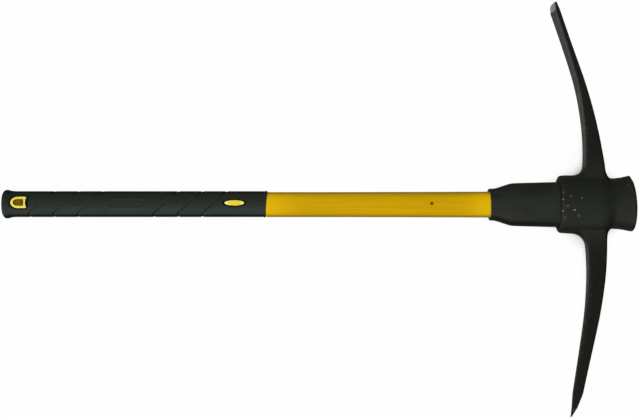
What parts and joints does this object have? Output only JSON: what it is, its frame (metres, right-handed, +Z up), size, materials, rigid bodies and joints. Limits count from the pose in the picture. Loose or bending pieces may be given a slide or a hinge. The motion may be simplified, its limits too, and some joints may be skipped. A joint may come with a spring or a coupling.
{
  "type": "pick axe",
  "caption": "Long handled pick axe: a forged head with a chisel arm and a point arm slips over a moulded fibreglass handle with a rubber grip and a hang hole.",
  "frame": {"origin": "on the surface that the tool lies on, under the middle of its bounding box", "axes": "+X along the handle towards the crown of the head, +Y towards the chisel edge, +Z up, square to the plane of the arms"},
  "size_m": [0.9, 0.591, 0.054],
  "materials": {
    "head_paint": "satin black paint on forged steel, bare where the ends are ground",
    "sleeve_plastic": "moulded, lightly textured",
    "shaft_yellow": "moulded jacket, soft gloss, faint lengthwise streaks",
    "glass_fibre": "pultruded glass fibre, sawn ends",
    "grip_rubber": "matte moulded rubber",
    "trim_yellow": "moulded, satin"
  },
  "bodies": {
    "handle": {"eye_sleeve": "sleeve_plastic", "shaft_jacket": "shaft_yellow", "fibreglass_core": "glass_fibre", "rubber_grip": "grip_rubber", "hang_hole_insert": "trim_yellow", "grip_inlay": "trim_yellow"},
    "head": {"pick_head": "head_paint"}
  },
  "joints": [
    {"name": "head_slide", "type": "slide", "parent": "handle", "child": "head", "axis": [-1, 0, 0], "range_m": [0, 0.79]}
  ]
}
